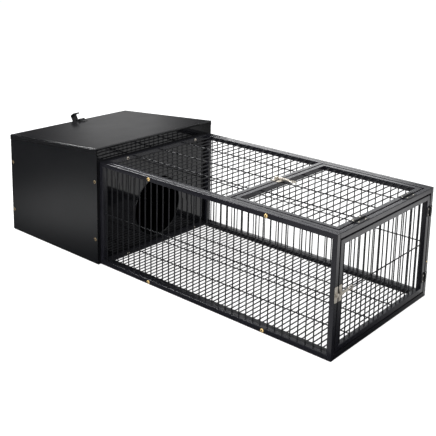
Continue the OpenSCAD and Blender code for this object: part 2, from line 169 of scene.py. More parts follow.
def sheet_piece(name, bm, node, paint_used, body="root"):
    """Piece of sheet metal: an open outer skin that gets its thickness inwards."""
    obj = scaled_piece(name, bm, [paint_used], body, [node], 30)
    solid = obj.modifiers.new("Sheet", "SOLIDIFY")
    solid.thickness = SHEET * MM
    solid.offset = -1
    solid.use_even_offset = True
    return even_shading(obj)


def even_shading(obj):
    """Lets the large flat faces set the normals, so that only the bends look bent."""
    shading = obj.modifiers.new("Even shading", "WEIGHTED_NORMAL")
    shading.keep_sharp = True
    shading.weight = 100
    return obj


def rings(bm, loops, closed_path=False):
    """Skins a list of point loops, each joined to the next; an open path is capped at both ends."""
    made = [[bm.verts.new(p) for p in loop] for loop in loops]
    pairs = list(zip(made, made[1:]))
    if closed_path:
        pairs.append((made[-1], made[0]))
    for one, two in pairs:
        count = len(one)
        for i in range(count):
            j = (i + 1) % count
            bm.faces.new((one[i], one[j], two[j], two[i]))
    if not closed_path:
        bm.faces.new(list(reversed(made[0])))
        bm.faces.new(made[-1])


def rounded(points, radius, steps=4, closed=True):
    """Rounds the corners of a 2D outline; radius is one number or one per point."""
    count = len(points)
    radii = radius if isinstance(radius, (list, tuple)) else [radius] * count
    out = []
    for i, point in enumerate(points):
        here = Vector(point)
        if radii[i] <= 0 or (not closed and i in (0, count - 1)):
            out.append(here)
            continue
        back = (Vector(points[i - 1]) - here)
        ahead = (Vector(points[(i + 1) % count]) - here)
        reach = min(radii[i], back.length * 0.49, ahead.length * 0.49)
        start = here + back.normalized() * reach
        end = here + ahead.normalized() * reach
        for k in range(steps + 1):
            t = k / steps
            out.append(start * (1 - t) ** 2 + here * 2 * t * (1 - t) + end * t ** 2)
    return out


def bevel_sharp(bm, offset):
    """Rounds every edge where two faces meet at more than 40 degrees."""
    sharp = math.radians(40)
    edges = [e for e in bm.edges if len(e.link_faces) == 2 and e.calc_face_angle() > sharp]
    bmesh.ops.bevel(bm, geom=edges, offset=offset, segments=2, affect="EDGES", clamp_overlap=True)


def plate(outline, thickness, bevel):
    """Flat plate from a 2D outline, with its lower face on z = 0 and its edges rounded."""
    bm = bmesh.new()
    verts = [bm.verts.new((p[0], p[1], 0)) for p in outline]
    for i, vert in enumerate(verts):
        bm.edges.new((vert, verts[(i + 1) % len(verts)]))
    bmesh.ops.contextual_create(bm, geom=bm.edges[:])
    grown = bmesh.ops.extrude_face_region(bm, geom=bm.faces[:])
    verts = [g for g in grown["geom"] if isinstance(g, bmesh.types.BMVert)]
    bmesh.ops.translate(bm, verts=verts, vec=(0, 0, thickness))
    bmesh.ops.recalc_face_normals(bm, faces=bm.faces)
    bevel_sharp(bm, bevel)
    return bm


def add(target, source, matrix=Matrix.Identity(4)):
    """Copies the mesh source into target through matrix, and frees source."""
    bmesh.ops.transform(source, matrix=matrix, verts=source.verts)
    if matrix.determinant() < 0:
        bmesh.ops.reverse_faces(source, faces=source.faces)
    made = {v: target.verts.new(v.co) for v in source.verts}
    for face in source.faces:
        new = target.faces.new([made[v] for v in face.verts])
        new.material_index = face.material_index
    source.free()


def lathe(profile, sides=32, hex_from=None, shade_from=None):
    """Solid of revolution about Z from (radius, height) points.

    Points from hex_from on make a hexagon, and the faces inside the point named by the last argument take
    the second material, which paints the inside of a recess dark as shade.
    """
    bm = bmesh.new()
    loops = []
    for index, (radius, height) in enumerate(profile):
        loop = []
        for k in range(sides):
            angle = 2 * math.pi * k / sides
            r = radius
            if hex_from is not None and index >= hex_from:
                part = math.fmod(angle, math.pi / 3) - math.pi / 6
                r = radius / math.cos(part)
            loop.append((r * math.cos(angle), r * math.sin(angle), height))
        loops.append(loop)
    rings(bm, loops)
    if shade_from is not None:
        shade_radius = profile[shade_from][0] * 1.2
        for face in bm.faces:
            centre = face.calc_center_median()
            inside = math.hypot(centre.x, centre.y) < shade_radius
            if inside and centre.z > profile[0][1] + 0.05:
                face.material_index = 1
    return bm


def arc(radius, first, last, steps, centre=(0, 0)):
    """Points on an arc, angles in degrees."""
    out = []
    for k in range(steps + 1):
        angle = math.radians(first + (last - first) * k / steps)
        out.append((centre[0] + radius * math.cos(angle), centre[1] + radius * math.sin(angle)))
    return out


def ring(radius, sides, centre=(0, 0)):
    """Points all round a circle."""
    return arc(radius, 0, 360 - 360 / sides, sides - 1, centre)


# ---------- materials ----------

def shader(name):
    """New material with one principled surface."""
    material = bpy.data.materials.new(name)
    material.use_nodes = True
    tree = material.node_tree
    tree.nodes.clear()
    out = tree.nodes.new("ShaderNodeOutputMaterial")
    surface = tree.nodes.new("ShaderNodeBsdfPrincipled")
    tree.links.new(surface.outputs["BSDF"], out.inputs["Surface"])
    return material, tree, surface


def noise(tree, scale, detail=3.0):
    """Noise fixed to the object, with its scale per metre."""
    place = tree.nodes.new("ShaderNodeTexCoord")
    texture = tree.nodes.new("ShaderNodeTexNoise")
    texture.inputs["Scale"].default_value = scale
    texture.inputs["Detail"].default_value = detail
    tree.links.new(place.outputs["Object"], texture.inputs["Vector"])
    return texture.outputs["Fac"]


def spread(tree, value, low, high):
    """Maps the middle of a noise onto the range low to high."""
    node = tree.nodes.new("ShaderNodeMapRange")
    node.inputs["From Min"].default_value = 0.3
    node.inputs["From Max"].default_value = 0.7
    node.inputs["To Min"].default_value = low
    node.inputs["To Max"].default_value = high
    tree.links.new(value, node.inputs["Value"])
    return node.outputs["Result"]


def tint(tree, value, dark, light):
    """Mixes two colours by a value."""
    node = tree.nodes.new("ShaderNodeMix")
    node.data_type = "RGBA"
    node.inputs["A"].default_value = (*dark, 1)
    node.inputs["B"].default_value = (*light, 1)
    tree.links.new(value, node.inputs["Factor"])
    return node.outputs["Result"]


def bump(tree, surface, layers):
    """Stacks noises of (scale, height in metres) as bumps."""
    last = None
    for scale, height in layers:
        node = tree.nodes.new("ShaderNodeBump")
        node.inputs["Distance"].default_value = height
        node.inputs["Strength"].default_value = 1.0
        tree.links.new(noise(tree, scale, 2.0), node.inputs["Height"])
        if last:
            tree.links.new(last, node.inputs["Normal"])
        last = node.outputs["Normal"]
    tree.links.new(last, surface.inputs["Normal"])


def paint(name, dark, light, rough, layers, patch=14.0, specular=0.5):
    """Black paint: two close tones in soft patches, uneven gloss and a fine orange-peel."""
    material, tree, surface = shader(name)
    tree.links.new(tint(tree, noise(tree, patch), dark, light), surface.inputs["Base Color"])
    tree.links.new(spread(tree, noise(tree, patch * 2.3), *rough), surface.inputs["Roughness"])
    surface.inputs["Specular IOR Level"].default_value = specular
    bump(tree, surface, layers)
    return material


def metal(name, dark, light, rough, layers, patch=160.0, metallic=1.0):
    """Metal with small patches of tone and gloss."""
    material, tree, surface = shader(name)
    surface.inputs["Metallic"].default_value = metallic
    tree.links.new(tint(tree, noise(tree, patch), dark, light), surface.inputs["Base Color"])
    tree.links.new(spread(tree, noise(tree, patch * 1.7), *rough), surface.inputs["Roughness"])
    bump(tree, surface, layers)
    return material


# Each: dark and light tone, range of roughness, bumps as (scale, height in metres)
FRAME_PAINT = paint(
    "satin_black_powder_coat", (0.008, 0.008, 0.011), (0.012, 0.012, 0.016), (0.20, 0.26),
    [(22, 0.00008), (1100, 0.000002)])
WIRE_PAINT = paint(
    "satin_black_wire_coat", (0.006, 0.0062, 0.0078), (0.010, 0.0102, 0.0125), (0.36, 0.48),
    [(700, 0.000004)], specular=0.3)
# Painted shade: the floor frame gets a darker, less glossy copy of the frame paint, so that its low rails
# under the wires look shaded.
SHADED_FLOOR_FRAME_PAINT = paint(
    "black_floor_frame_painted_shade", (0.006, 0.006, 0.008), (0.010, 0.010, 0.013), (0.34, 0.44),
    [(22, 0.00008), (1100, 0.000002)], specular=0.2)
WALL_PAINT = paint(
    "semi_gloss_black_sheet", (0.006, 0.0065, 0.0075), (0.009, 0.0095, 0.011), (0.285, 0.345),
    [(5, 0.0003), (900, 0.00001)], patch=4.0)
END_PAINT = paint(
    "mirror_black_sheet", (0.004, 0.004, 0.005), (0.006, 0.006, 0.007), (0.03, 0.06),
    [(4, 0.00005), (700, 0.000001)], patch=5.0)
LID_PAINT = paint(
    "satin_black_lid", (0.008, 0.008, 0.009), (0.011, 0.011, 0.012), (0.15, 0.20),
    [(4, 0.0001), (1200, 0.000004)], patch=5.0)
FITTING_PAINT = paint(
    "semi_gloss_black_fitting", (0.006, 0.006, 0.007), (0.012, 0.012, 0.013), (0.29, 0.38),
    [(500, 0.00002)], patch=60.0, specular=0.35)
# The zinc varies at random between light grey and warm dark brown. The dark brown stands in for the shade
# seen between a bolt's plate, strap and rod, so it is partly painted shade.
ZINC = metal(
    "dull_zinc_with_painted_shade", (0.30, 0.25, 0.19), (0.84, 0.80, 0.73), (0.29, 0.38),
    [(900, 0.00002)], patch=110.0, metallic=0.6)
STEEL_PIN = metal("bright_steel_pin", (0.50, 0.49, 0.47), (0.62, 0.61, 0.59), (0.29, 0.36), [(900, 0.00001)])
BRASS = metal(
    "yellow_brass", (0.88, 0.58, 0.22), (1.0, 0.76, 0.36), (0.29, 0.36), [(700, 0.00002)], metallic=0.35)
DULL_BRASS = metal(
    "dull_brass", (0.18, 0.13, 0.07), (0.32, 0.25, 0.15), (0.35, 0.50), [(700, 0.00002)], metallic=0.35)
# Painted shade: the inside of a screw head's hexagonal recess is coloured dark brown, where shade falls in
# the hole.
RECESS_SHADE, recess_shade_tree, recess_shade_surface = shader("painted_shade_screw_recess")
recess_shade_tree.links.new(
    tint(recess_shade_tree, noise(recess_shade_tree, 300), (0.02, 0.009, 0.004), (0.10, 0.045, 0.015)),
    recess_shade_surface.inputs["Base Color"])
recess_shade_surface.inputs["Roughness"].default_value = 0.5


# ---------- run: tube frames ----------

# A seam reaches SEAM along the tube; the squeezes say how much thinner the tube is at a seam or a groove
TUBE_R = 1.6
SEAM = 0.6
SEAM_SQUEEZE = 0.965
GROOVE_SQUEEZE = 0.93


def tube_section():
    """Outline of the square tube with rounded corners."""
    half = TUBE / 2
    return rounded([(half, -half), (half, half), (-half, half), (-half, -half)], TUBE_R, 4)


def tube_loop(bm, corners, normal):
    """Closed rectangle of rounded square tube with a fine weld seam at each mitre."""
    section = tube_section()
    loops = []
    count = len(corners)
    for i, corner in enumerate(corners):
        before = (corner - corners[i - 1]).normalized()
        after = (corners[(i + 1) % count] - corner).normalized()
        outward = before.cross(normal) + after.cross(normal)
        for slide, squeeze in ((before * -SEAM, 1), (Vector(), SEAM_SQUEEZE), (after * SEAM, 1)):
            middle = corner + slide
            loops.append([middle + outward * (u * squeeze) + normal * (v * squeeze) for u, v in section])
    rings(bm, loops, closed_path=True)


def tube_bar(bm, start, end, side_axis):
    """Straight tube with a shallow weld groove at both ends."""
    section = tube_section()
    along = (end - start).normalized()
    up = side_axis.cross(along)
    loops = []
    stations = ((start, GROOVE_SQUEEZE), (start + along, 1), (end - along, 1), (end, GROOVE_SQUEEZE))
    for point, squeeze in stations:
        loops.append([point + side_axis * (u * squeeze) + up * (v * squeeze) for u, v in section])
    rings(bm, loops)


def rectangle(low, high, flat_axis, level):
    """Four corners, counter-clockwise about flat_axis, inset to the middle of the tubes."""
    h = TUBE / 2
    first, second = [a for a in range(3) if a != flat_axis]
    corners = []
    for far_first, far_second in ((0, 0), (1, 0), (1, 1), (0, 1)):
        point = Vector((0, 0, 0))
        point[flat_axis] = level
        point[first] = high[first] - h if far_first else low[first] + h
        point[second] = high[second] - h if far_second else low[second] + h
        corners.append(point)
    return corners


def tube_frame_piece(name, body, node, flat_axis, bars=(), material=FRAME_PAINT):
    """Rectangular tube frame as large as its CAD node, with any bars across it."""
    low, high = span(node)
    level = (low[flat_axis] + high[flat_axis]) / 2
    normal = Vector((0, 0, 0))
    normal[flat_axis] = -1 if flat_axis == 1 else 1
    bm = bmesh.new()
    tube_loop(bm, rectangle(low, high, flat_axis, level), normal)
    for start, end, side_axis in bars:
        tube_bar(bm, start, end, side_axis)
    return piece(name, bm, [material], body, [node])


CROSS_BAR_X = JOIN_X + CROSS_BAR + TUBE / 2
BAR_HALF = RUN_HALF - 2 * TUBE
cross_bar = (
    Vector((CROSS_BAR_X, -BAR_HALF, RUN_H - TUBE / 2)),
    Vector((CROSS_BAR_X, BAR_HALF, RUN_H - TUBE / 2)),
    Vector((1, 0, 0)))
tube_frame_piece("front_tube_frame", "root", "front_panel_frame", 1)
tube_frame_piece("rear_tube_frame", "root", "rear_panel_frame", 1)
tube_frame_piece("floor_tube_frame", "root", "floor_panel_frame", 2, material=SHADED_FLOOR_FRAME_PAINT)
tube_frame_piece("top_tube_frame", "root", "top_panel_frame", 2, [cross_bar])
tube_frame_piece("top_door_tube_frame", "top_door", "top_door_frame", 2)
tube_frame_piece("end_door_tube_frame", "end_door", "end_door_frame", 0)


# ---------- run: welded wires ----------

# Distance from the end of a wire, and how much thicker it is there
WELD_FLARE = ((-0.4, 1.7), (0.5, 1.25), (1.8, 1.0))
WIRE_SIDES = 12
WELD_BEAD = (WIRE_R * 1.1, WIRE_R * 1.1, WIRE_R * 1.25)
CROSS_DEPTH = -WIRE_R * 1.6


def wire(bm, start, end):
    """Round wire that flares into a weld where it meets the tube at each end."""
    along = (end - start).normalized()
    side = along.orthogonal().normalized()
    up = along.cross(side)
    length = (end - start).length
    stations = list(WELD_FLARE) + [(length - at, swell) for at, swell in reversed(WELD_FLARE)]
    loops = []
    for at, swell in stations:
        loop = []
        for k in range(WIRE_SIDES):
            angle = 2 * math.pi * k / WIRE_SIDES
            outward = side * math.cos(angle) + up * math.sin(angle)
            loop.append(start + along * at + outward * WIRE_R * swell)
        loops.append(loop)
    rings(bm, loops)


def weld(bm, centre):
    """Small melted bead where two wires cross."""
    bead = bmesh.new()
    bmesh.ops.create_icosphere(bead, subdivisions=2, radius=1.0)
    add(bm, bead, Matrix.Translation(centre) @ Matrix.Diagonal((*WELD_BEAD, 1)))


def grid(bm, origin, along, across, depth, length, width, pitch, cross_wires, moved=0.0):
    """Close wires running across, at a pitch along, and cross wires behind them."""
    count = math.floor(length / pitch)
    first = (length - (count - 1) * pitch) / 2 - moved
    levels = [j * width / (cross_wires + 1) for j in range(1, cross_wires + 1)]
    for i in range(count):
        start = origin + along * (first + i * pitch)
        wire(bm, start, start + across * width)
        for level in levels:
            weld(bm, start + across * level + depth * CROSS_DEPTH / 2)
    for level in levels:
        start = origin + across * level + depth * CROSS_DEPTH
        wire(bm, start, start + along * length)


X, Y, Z = Vector((1, 0, 0)), Vector((0, 1, 0)), Vector((0, 0, 1))


def grid_piece(name, body, node, *settings):
    """Wire grille as one piece."""
    bm = bmesh.new()
    grid(bm, *settings)
    return piece(name, bm, [WIRE_PAINT], body, [node], angle=50)


WALL_PITCH = 25.0
TOP_PITCH = 27.6
TOP_DOOR_PITCH = 24.7
FLOOR_PITCH = 16.6
SIDE_SHIFT = 5.0
TOP_WIRE_Z = RUN_H - 4.5
FLOOR_WIRE_Z = TUBE - 2.5
RUN_L = END_X - JOIN_X
INNER_L = RUN_L - 2 * TUBE
INNER_H = RUN_H - 2 * TUBE
SIDE_Y = RUN_HALF - TUBE / 2
for name, node, side in (("front_wires", "front_panel_mesh", -1), ("rear_wires", "rear_panel_mesh", 1)):
    grid_piece(
        name, "root", node, Vector((JOIN_X + TUBE, side * SIDE_Y, TUBE)), X, Z, Y * side,
        INNER_L, INNER_H, WALL_PITCH, 1, SIDE_SHIFT)
grid_piece(
    "floor_wires", "root", "floor_panel_mesh", Vector((JOIN_X + TUBE, -BAR_HALF, FLOOR_WIRE_Z)), X, Y, Z,
    INNER_L, 2 * BAR_HALF, FLOOR_PITCH, 3)
grid_piece(
    "top_wires", "root", "top_panel_mesh", Vector((JOIN_X + TUBE, -BAR_HALF, TOP_WIRE_Z)), X, Y, Z,
    CROSS_BAR - TUBE, 2 * BAR_HALF, TOP_PITCH, 3)
grid_piece(
    "top_door_wires", "top_door", "top_door_mesh",
    Vector((TOP_DOOR_LOW.x + TUBE, TOP_DOOR_LOW.y + TUBE, TOP_WIRE_Z)), X, Y, Z,
    TOP_DOOR_HIGH.x - TOP_DOOR_LOW.x - 2 * TUBE, TOP_DOOR_HIGH.y - TOP_DOOR_LOW.y - 2 * TUBE,
    TOP_DOOR_PITCH, 3)
grid_piece(
    "end_door_wires", "end_door", "end_door_mesh",
    Vector((END_X - TUBE / 2, END_DOOR_LOW.y + TUBE, END_DOOR_LOW.z + TUBE)), Y, Z, X,
    END_DOOR_HIGH.y - END_DOOR_LOW.y - 2 * TUBE, END_DOOR_HIGH.z - END_DOOR_LOW.z - 2 * TUBE,
    WALL_PITCH, 1)


# ---------- nest box ----------

BEND_R = 2.4
DOORWAY_SIDES = 96
LONG_WALL_LEFT_TOP = NEST_HIGH.z - NEST_L * math.tan(LID_SLOPE)


def skin(faces, bends, radius=BEND_R):
    """Outer skin of folded sheet from lists of points; the edges named in bends are rounded."""
    bm = bmesh.new()
    known = {}

    def vert(point):
        key = tuple(round(c, 3) for c in point)
        if key not in known:
            known[key] = bm.verts.new(key)
        return known[key]

    for face in faces:
        bm.faces.new([vert(p) for p in face])
    edges = [bm.edges.get((vert(a), vert(b))) for a, b in bends]
    bmesh.ops.bevel(bm, geom=edges, offset=radius, segments=5, affect="EDGES")
    return bm


def long_wall(name, node, side):
    """Front or rear wall, side -1 or 1, folded inwards along its bottom edge."""
    y = side * NEST_HALF
    inner = side * (NEST_HALF - FLANGE)
    a, b = (NEST_X, y, 0), (JOIN_X, y, 0)
    c, d = (JOIN_X, y, NEST_HIGH.z), (NEST_X, y, LONG_WALL_LEFT_TOP)
    e, f = (JOIN_X, inner, 0), (NEST_X, inner, 0)
    outside = [a, b, c, d] if side < 0 else [d, c, b, a]
    bottom = [f, e, b, a] if side < 0 else [a, b, e, f]
    bm = skin([outside, bottom], [(a, b)])
    return sheet_piece(name, bm, node, WALL_PAINT)


def end_wall(name, node, x, inward, top, hole):
    """Left or right wall with its side edges folded inwards behind the long walls."""
    half = NEST_HALF - SHEET
    low = SHEET
    fold = inward * (FLANGE + SHEET)
    bm = bmesh.new()
    corners = [(x, -half, low), (x, half, low), (x, half, top), (x, -half, top)]
    outer = [bm.verts.new(p) for p in corners]
    edges = [bm.edges.new((outer[i], outer[(i + 1) % 4])) for i in range(4)]
    if hole:
        circle = [bm.verts.new((x, u, v)) for u, v in ring(DOORWAY_R, DOORWAY_SIDES, (0, DOORWAY_Z))]
        for i in range(DOORWAY_SIDES):
            edges.append(bm.edges.new((circle[i], circle[(i + 1) % DOORWAY_SIDES])))
        bmesh.ops.triangle_fill(bm, use_beauty=True, edges=edges)
    else:
        bm.faces.new(outer)
    for low_corner, high_corner in ((outer[0], outer[3]), (outer[1], outer[2])):
        near = bm.verts.new((x + fold, low_corner.co.y, low))
        far = bm.verts.new((x + fold, low_corner.co.y, top))
        bm.faces.new((low_corner, high_corner, far, near))
    bends = [bm.edges.get((outer[0], outer[3])), bm.edges.get((outer[1], outer[2]))]
    bmesh.ops.bevel(bm, geom=bends, offset=BEND_R, segments=5, affect="EDGES")
    bmesh.ops.recalc_face_normals(bm, faces=bm.faces)
    bm.normal_update()
    flat = max(bm.faces, key=lambda f: f.calc_area())
    if flat.normal.x * inward > 0:
        bmesh.ops.reverse_faces(bm, faces=bm.faces)
    return sheet_piece(name, bm, node, END_PAINT if hole else WALL_PAINT)


long_wall("front_wall", "nest_front_wall", -1)
long_wall("rear_wall", "nest_rear_wall", 1)
end_wall("left_wall", "nest_left_wall", NEST_X, 1, LEFT_TOP, False)
end_wall("right_wall", "nest_right_wall", JOIN_X, -1, RIGHT_TOP, True)

RIM_R = 1.5
RIM_STEPS = 120


def doorway_rim():
    """Rolled rim that guards the cut edge of the doorway."""
    bm = bmesh.new()
    loops = []
    for step in range(RIM_STEPS):
        angle = 2 * math.pi * step / RIM_STEPS
        outward = Vector((0, math.cos(angle), math.sin(angle)))
        centre = Vector((JOIN_X - SHEET / 2, 0, DOORWAY_Z)) + outward * DOORWAY_R
        loops.append([centre + outward * u + X * v for u, v in ring(RIM_R, 10)])
    rings(bm, loops, closed_path=True)
    piece("doorway_rim", bm, [END_PAINT], "root", [], angle=60)


doorway_rim()


def tray():
    """Floor of the nest box, with its four edges folded up."""
    low, high = span("nest_floor_tray")
    x0, x1, y0, y1, z0, z1 = low.x, high.x, low.y, high.y, low.z, high.z
    base = [(x0, y0, z0), (x1, y0, z0), (x1, y1, z0), (x0, y1, z0)]
    rim_points = [(x, y, z1) for x, y, _ in base]
    faces = [list(reversed(base))]
    bends = []
    for i in range(4):
        j = (i + 1) % 4
        faces.append([base[i], base[j], rim_points[j], rim_points[i]])
        bends += [(base[i], base[j]), (base[i], rim_points[i])]
    return sheet_piece("floor_tray", skin(faces, bends), "nest_floor_tray", WALL_PAINT)


tray()


def on_lid(bm):
    """Moves a mesh drawn about the hinge with a level lid to its place on the nest box."""
    place = Matrix.Translation(LID_AXIS) @ turn("Y", -math.degrees(LID_SLOPE))
    bmesh.ops.transform(bm, matrix=place, verts=bm.verts)
    return bm


BARREL_R = 3.0
BARREL_GAP = 0.6
LID_HALF = 273.8
LID_GAP = 0.8
LID_EDGE_R = 3.0
LID_EAR = 5.6
LID_REACH = NEST_L - BARREL_R + LID_GAP + (LID_RIM - BARREL_R) * math.sin(LID_SLOPE)
LID_L = LID_REACH / math.cos(LID_SLOPE) + SHEET


def lid_skin():
    """Lid with a turned-down rim on three sides; the side rims run on a little past the hinge's axis."""
    far, near = -LID_L, -BARREL_R - BARREL_GAP
    top, low = BARREL_R, BARREL_R - LID_RIM
    w = LID_HALF
    a, b, c, d = (far, -w, top), (near, -w, top), (near, w, top), (far, w, top)
    a2, b2, c2, d2 = [(x, y, low) for x, y, _ in (a, b, c, d)]
    faces = [[a, b, c, d], [a2, b2, b, a], [d2, a2, a, d], [c2, d2, d, c]]
    bm = skin(faces, [(a, b), (a, d), (c, d), (a, a2), (d, d2)], radius=LID_EDGE_R)
    ends = near + LID_EAR
    for side in (-1, 1):
        outline = [(side * w, low), (side * w, top), (side * (w - LID_EDGE_R), top)]
        profile = rounded(outline, [0, LID_EDGE_R, 0], 5, closed=False)
        one = [bm.verts.new((near, y, z)) for y, z in profile]
        two = [bm.verts.new((ends, y, z)) for y, z in profile]
        for i in range(len(profile) - 1):
            quad = (one[i], two[i], two[i + 1], one[i + 1])
            bm.faces.new(quad if side < 0 else tuple(reversed(quad)))
    return on_lid(bm)


sheet_piece("lid_shell", lid_skin(), "lid_panel", LID_PAINT, "lid")


# ---------- screws, rivets and pins ----------

# Outlines as (radius, height); a screw head's hexagonal recess starts at its eighth point
SCREW_HEAD = [
    (5.2, 0.0), (5.5, 0.25), (5.5, 0.8), (5.1, 1.35), (4.3, 1.85), (3.4, 2.15),
    (2.7, 2.2), (2.45, 2.1), (2.3, 1.9), (2.25, 0.7), (1.4, 0.45), (0.05, 0.4)]
RIVET_HEAD = [(2.2, 0.0), (2.2, 0.2), (1.95, 0.5), (1.4, 0.78), (0.7, 0.9), (0.05, 0.92)]
PANEL_SCREW_SHARES = (0.25, 0.75)
NEST_SCREW_SHARES = (0.22, 0.72)
JOINING_SCREW_Y = (-152.0, 172.0)
REAR_SCREW_Z = 113.0


def screw_head():
    """Domed screw head with a hexagonal recess, whose inside is painted dark as shade."""
    return lathe(SCREW_HEAD, 48, hex_from=7, shade_from=8)


def facing(direction):
    """Rotation that turns +Z to direction."""
    return Vector(direction).to_track_quat("Z", "Y").to_matrix().to_4x4()


def heads(name, body, node, material, places, profile=None):
    """Screw heads, or heads with the given profile, at each (place, direction)."""
    bm = bmesh.new()
    for at, direction in places:
        source = lathe(profile, 32) if profile else screw_head()
        add(bm, source, Matrix.Translation(at) @ facing(direction))
    return piece(name, bm, [material, RECESS_SHADE], body, [node])


panel_places = []
for side in (-1, 1):
    for share in PANEL_SCREW_SHARES:
        for height in (TUBE / 2, RUN_H - TUBE / 2):
            panel_places.append((Vector((JOIN_X + RUN_L * share, side * RUN_HALF, height)), (0, side, 0)))
heads("panel_screw_heads", "root", "panel_screws", BRASS, panel_places)

nest_places = []
inset = FLANGE / 2 + SHEET
for side in (-1, 1):
    for share in NEST_SCREW_SHARES:
        for x, under in ((NEST_X + inset, LONG_WALL_LEFT_TOP), (JOIN_X - inset, NEST_HIGH.z)):
            nest_places.append((Vector((x, side * NEST_HALF, under * share)), (0, side, 0)))
heads("nest_screw_heads", "root", "nest_wall_screws", DULL_BRASS, nest_places)

joining_places = []
for y in JOINING_SCREW_Y:
    for height in (TUBE / 2, RUN_H - TUBE / 2):
        joining_places.append((Vector((JOIN_X + TUBE, y, height)), (1, 0, 0)))
heads("joining_screw_heads", "root", "run_joining_screws", ZINC, joining_places)
heads(
    "rear_post_screw_head", "root", "rear_post_screw", BRASS,
    [(Vector((END_X, RUN_HALF - TUBE / 2, REAR_SCREW_Z)), (1, 0, 0))], RIVET_HEAD)


# ---------- door hinges ----------

LEAF_W = 15.0
LEAF_T = 1.2
HINGE_R = 2.5
LIFT = HINGE_R + 0.3
LEAF_CLEAR = HINGE_R + 0.5
LEAF_RIVET_X = 8.9
LEAF_RIVET_SHARES = (0.2, 0.8)
KNUCKLE_GAP = 0.4
PIN_R = 1.2
TOP_HINGE_L = 56.0
TOP_HINGE_Y = 130.0
END_HINGE_L = 30.0
END_HINGE_Z = (65.0, 275.0)
PLAIN = Matrix.Identity(4)
MIRRORED = Matrix.Diagonal((-1, 1, 1, 1))
END_FLIP = Matrix.Diagonal((1, -1, 1, 1))


def curl(length):
    """One knuckle: the leaf's edge rolled round the pin, length along Z."""
    touch = math.degrees(math.asin((LIFT - LEAF_T) / HINGE_R))
    outline = [(LEAF_CLEAR + 0.6, -LIFT + LEAF_T)]
    outline += arc(HINGE_R, -touch, 262, 26)
    outline += [(0.5, -LIFT), (LEAF_CLEAR + 0.6, -LIFT)]
    return plate(outline, length, 0.2)


def leaf(total, count, parity):
    """Surface leaf towards +X with its share of the knuckles about the Z axis."""
    bm = bmesh.new()
    step = total / count
    corners = [(LEAF_CLEAR, 0), (LEAF_W, 0), (LEAF_W, total), (LEAF_CLEAR, total)]
    outline = rounded(corners, [0.6, 2.5, 2.5, 0.6])
    upright = turn("X", 90) @ Matrix.Diagonal((1, 1, -1, 1))
    add(bm, plate(outline, LEAF_T, 0.25), shift(0, -LIFT, 0) @ upright)
    for i in range(parity, count, 2):
        add(bm, curl(step - KNUCKLE_GAP), shift(0, 0, i * step + KNUCKLE_GAP / 2))
    return bm


def hinge_set(name, places, total, count, flip, fixed_node, moving_node, pin_node, door):
    """Fixed leaves, moving leaves and pins of a door's two hinges."""
    sets = (
        ("fixed", fixed_node, "root", 0, PLAIN),
        ("moving", moving_node, door, 1, MIRRORED))
    for label, node, body, parity, mirrored in sets:
        bm = bmesh.new()
        for place in places:
            add(bm, leaf(total, count, parity), place @ flip @ mirrored)
        piece(f"{name}_{label}_leaves", bm, [FITTING_PAINT], body, [node])
    bm = bmesh.new()
    pin = [(0.05, -0.45), (0.8, -0.35), (PIN_R, 0.0)]
    pin += [(PIN_R, total), (0.8, total + 0.35), (0.05, total + 0.45)]
    for place in places:
        add(bm, lathe(pin, 24), place)
    piece(f"{name}_pins", bm, [STEEL_PIN], "root", [pin_node])


def leaf_rivet_places(places, flip, mirrored, total):
    """Place and direction of the rivets through a door's fixed or mirrored leaves."""
    out = []
    for place in places:
        matrix = place @ flip @ mirrored
        for share in LEAF_RIVET_SHARES:
            at = matrix @ Vector((LEAF_RIVET_X, LEAF_T - LIFT, total * share))
            direction = (matrix.to_3x3() @ Vector((0, 1, 0))).normalized()
            out.append((at, direction))
    return out


TOP_AXIS = joint_at("top_door_hinge")
END_AXIS = joint_at("end_door_hinge")
top_places = []
for side in (-1, 1):
    low_end = shift(TOP_AXIS.x, side * TOP_HINGE_Y + TOP_HINGE_L / 2, TOP_AXIS.z)
    top_places.append(low_end @ turn("X", 90))
end_places = []
for z in END_HINGE_Z:
    low_end = shift(END_AXIS.x, END_AXIS.y, z - END_HINGE_L / 2)
    end_places.append(low_end @ turn("Z", 90))
hinge_set(
    "top_hinge", top_places, TOP_HINGE_L, 5, PLAIN,
    "top_hinge_fixed_leaves", "top_hinge_moving_leaves", "top_hinge_pins", "top_door")
hinge_set(
    "end_hinge", end_places, END_HINGE_L, 3, END_FLIP,
    "end_hinge_fixed_leaves", "end_hinge_moving_leaves", "end_hinge_pins", "end_door")


# ---------- slide bolts ----------

PLATE_L = 44.0
PLATE_W = 13.0
PLATE_RIVET_Y = PLATE_L / 2 - 6
ROD_R = 3.0
ROD_AXIS = LEAF_T + ROD_R + 0.8
STRAP_R = 4.6
STRAP_T = 1.4
STRAP_W = PLATE_W - 4
STRAP_FOOT = 8.5
ROD_L = 62.0
LOOP_L = 24.0
LOOP_HALF = 5.4
LOOP_WIRE_R = 1.45
TOP_BOLT_Y = -6.0
END_BOLT_Z = 183.0
DOOR_GAP = 4.0


def bolt_bracket():
    """Plate with a strap bent over the rod; the rod slides along X."""
    bm = bmesh.new()
    half_w, half_l = PLATE_W / 2, PLATE_L / 2
    outline = rounded([(-half_w, -half_l), (half_w, -half_l), (half_w, half_l), (-half_w, half_l)], 3)
    add(bm, plate(outline, LEAF_T, 0.25))
    low = LEAF_T - 0.1
    high = low + STRAP_T
    outer = [(STRAP_FOOT, low), (STRAP_FOOT, high), (STRAP_R + 0.3, high)]
    outer += arc(STRAP_R, 0, 180, 16, (0, ROD_AXIS))
    outer += [(-STRAP_R - 0.3, high), (-STRAP_FOOT, high), (-STRAP_FOOT, low)]
    inner_r = STRAP_R - STRAP_T
    inner = [(-inner_r, low)] + list(reversed(arc(inner_r, 0, 180, 16, (0, ROD_AXIS)))) + [(inner_r, low)]
    strap = plate(outer + inner, STRAP_W, 0.2)
    add(bm, strap, shift(-STRAP_W / 2, 0, 0) @ turn("Z", 90) @ turn("X", 90))
    return bm


